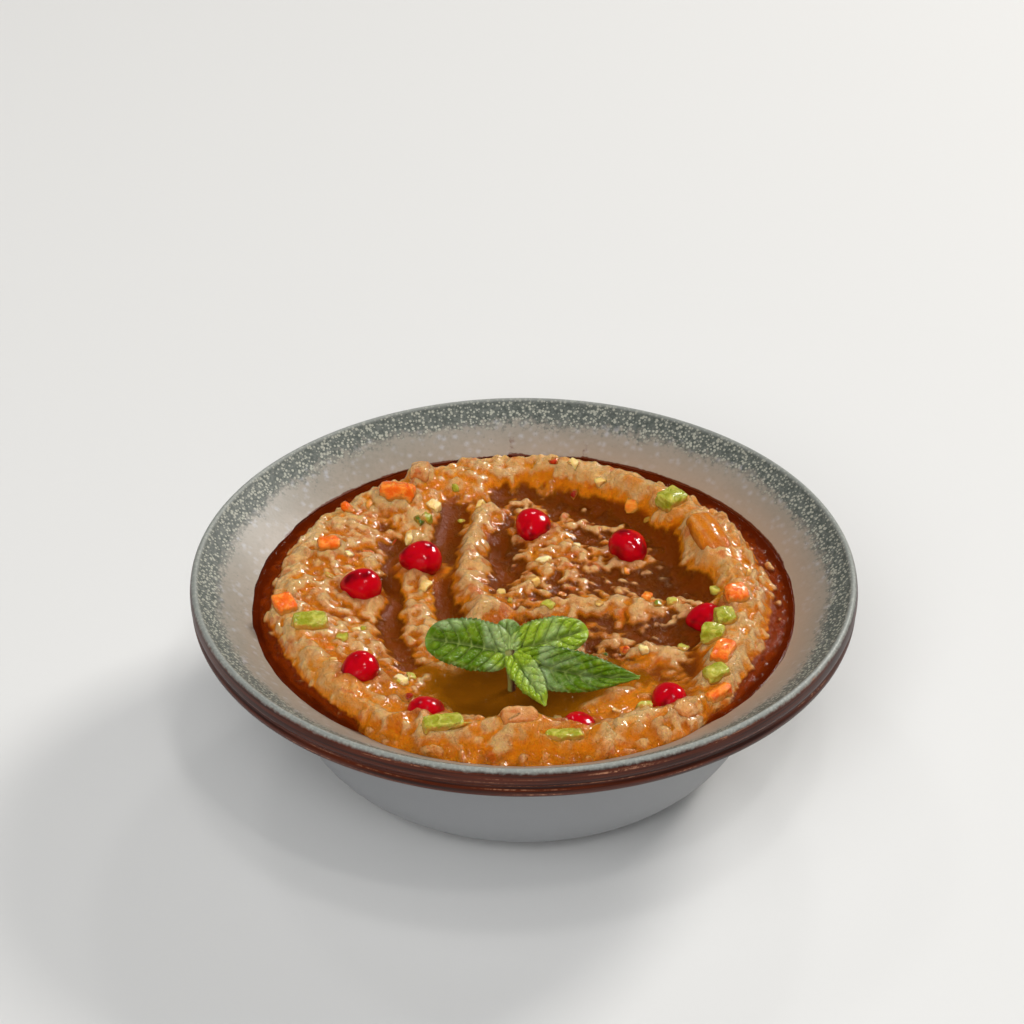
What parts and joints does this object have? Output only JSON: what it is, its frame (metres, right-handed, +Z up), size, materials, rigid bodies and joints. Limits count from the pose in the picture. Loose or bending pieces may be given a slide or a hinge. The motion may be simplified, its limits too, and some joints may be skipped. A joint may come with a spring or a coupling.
{
  "type": "baba ganoush in a bowl",
  "caption": "Chunky aubergine dip with diced vegetables, pooled oil, pomegranate seeds and a mint sprig, in a round wide-rimmed glazed bowl.",
  "frame": {"origin": "centre of the foot ring's resting face, on the surface the bowl stands on", "axes": "+Z up along the bowl's axis, +Y to the back of the dish as served, +X to its right-hand side; the mint sprig lies towards the front, -Y"},
  "size_m": [0.1598, 0.16, 0.0556],
  "materials": {
    "glaze": "glossy off-white glaze with a speckled grey-green rim band and a brown lip",
    "dip": "wet, oily chunky vegetable pulp, tan with orange-brown hollows",
    "oil": "clear amber-brown cooking oil",
    "pomegranate": "wet, translucent crimson",
    "carrot": "wet cooked carrot, orange",
    "pepper": "wet roasted orange pepper",
    "celery": "wet cooked green pepper and celery, yellow-green",
    "onion": "wet cooked onion, pale cream",
    "mint": "fresh mint leaf, satin green with pale veins"
  },
  "bodies": {
    "root": {"bowl": "glaze", "dip": "dip", "oil_moat": "oil", "oil_pool": "oil", "pomegranate_seed_1": "pomegranate", "pomegranate_seed_2": "pomegranate", "pomegranate_seed_3": "pomegranate", "pomegranate_seed_4": "pomegranate", "pomegranate_seed_5": "pomegranate", "pomegranate_seed_6": "pomegranate", "pomegranate_seed_7": "pomegranate", "pomegranate_seed_8": "pomegranate", "pomegranate_seed_9": "pomegranate", "carrot_back_left": "carrot", "carrot_left_cube": "carrot", "carrot_left_edge": "carrot", "carrot_right": "carrot", "carrot_right_slope": "carrot", "carrot_front_right": "carrot", "pepper_back_right": "pepper", "celery_back_right": "celery", "celery_left": "celery", "celery_right_upper": "celery", "celery_right_lower": "celery", "celery_right_front": "celery", "celery_front_strip": "celery", "celery_front_left": "celery", "onion_front_right": "onion", "onion_front": "onion", "onion_back": "onion", "mint_sprig": "mint"}
  },
  "joints": []
}
